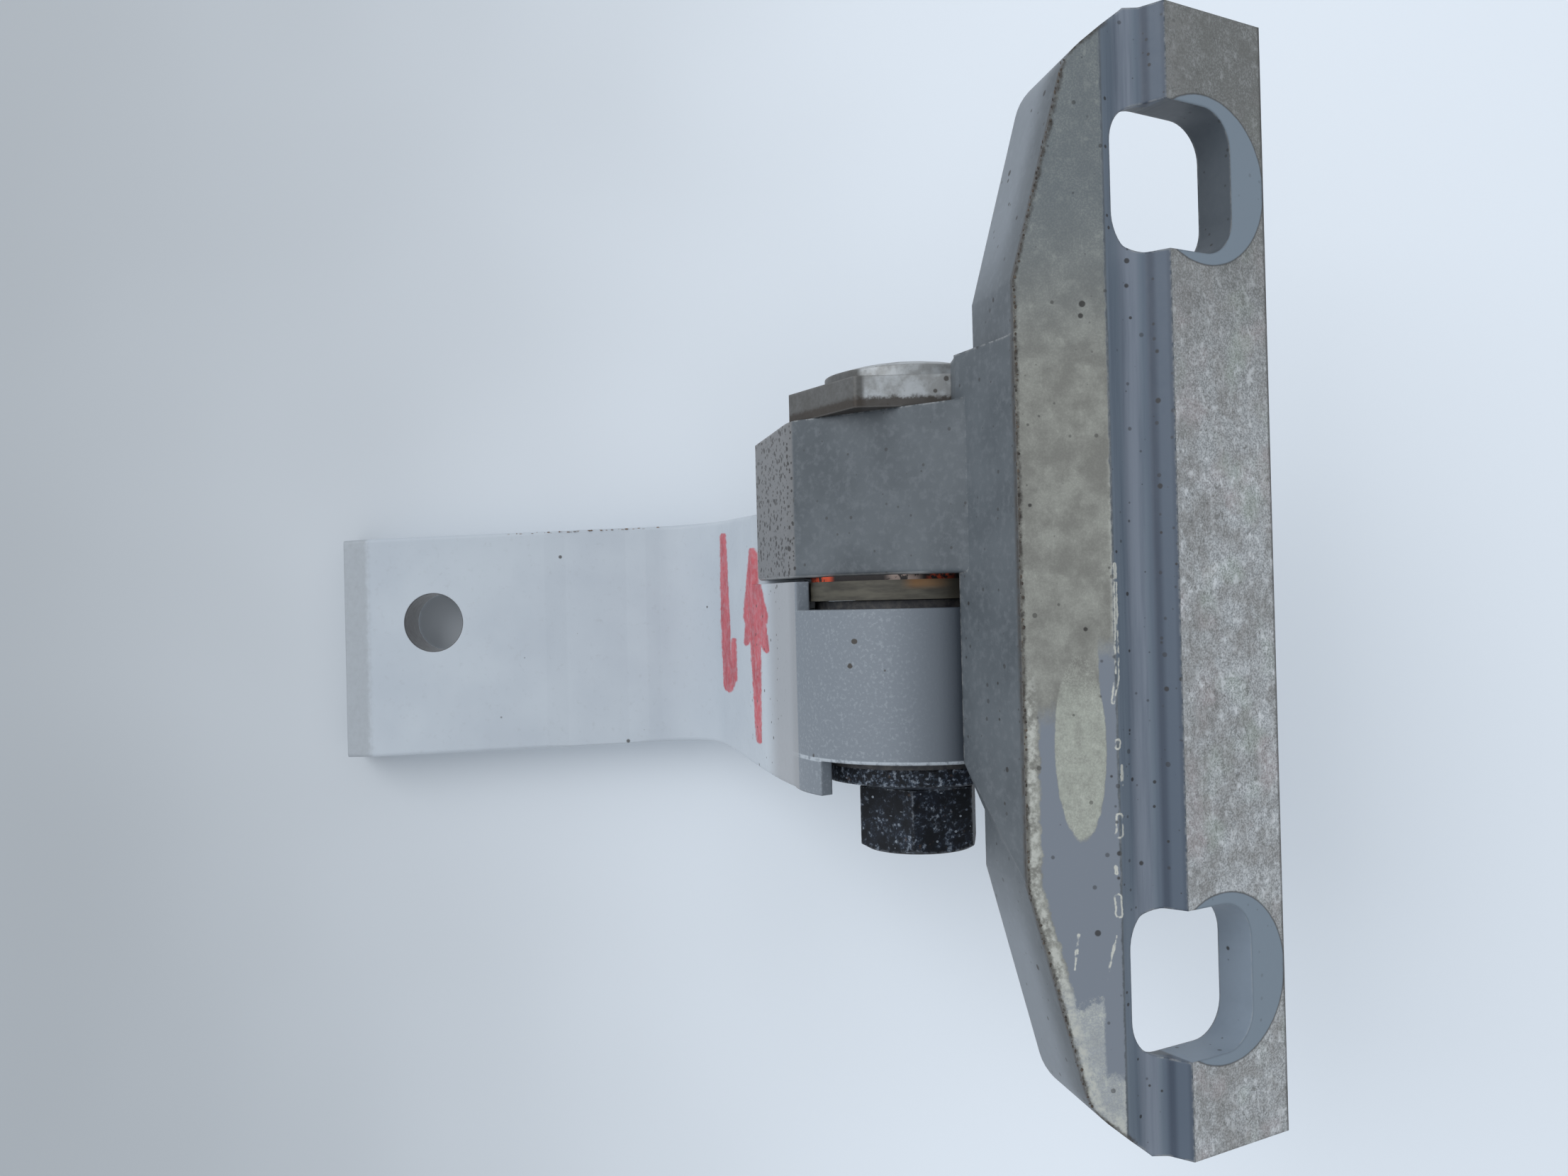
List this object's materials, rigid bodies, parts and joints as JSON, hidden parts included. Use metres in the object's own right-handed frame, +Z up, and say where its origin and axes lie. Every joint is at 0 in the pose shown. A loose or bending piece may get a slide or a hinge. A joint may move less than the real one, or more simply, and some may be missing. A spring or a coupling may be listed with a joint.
{
  "type": "car door hinge",
  "caption": "Forged car door hinge: a slotted body bracket with one ear, and a gooseneck door arm that swings on a headed pin held by a flanged bolt.",
  "frame": {"origin": "on the ridge of the body bracket's mounting pad, midway between its two slots", "axes": "+Z up along the pivot axis, +Y away from the pillar, +X away from the door arm"},
  "size_m": [0.1163, 0.0682, 0.1148],
  "materials": {
    "bracket_paint": "grey primer over forged steel, contact faces bare",
    "arm_paint": "pale grey paint over forged steel",
    "pin_zinc": "zinc plated, stained",
    "bolt_black": "black coated, with pale corrosion",
    "bush_metal": "dark oiled steel",
    "washer_bronze": "dull bronze, oily",
    "seal_rubber": "worn red seal"
  },
  "bodies": {
    "bracket": {"body_bracket": "bracket_paint", "hinge_pin": "pin_zinc", "retaining_bolt": "bolt_black", "thrust_washer": "washer_bronze", "seal_washer": "seal_rubber"},
    "arm": {"door_arm": "arm_paint", "upper_bush": "bush_metal", "lower_bush": "bush_metal"}
  },
  "joints": [
    {"name": "door_swing", "type": "hinge", "parent": "bracket", "child": "arm", "pos_m": [-0.0236, 0.0265, 0], "axis": [0, 0, 1], "range_deg": [-68, 0]}
  ]
}
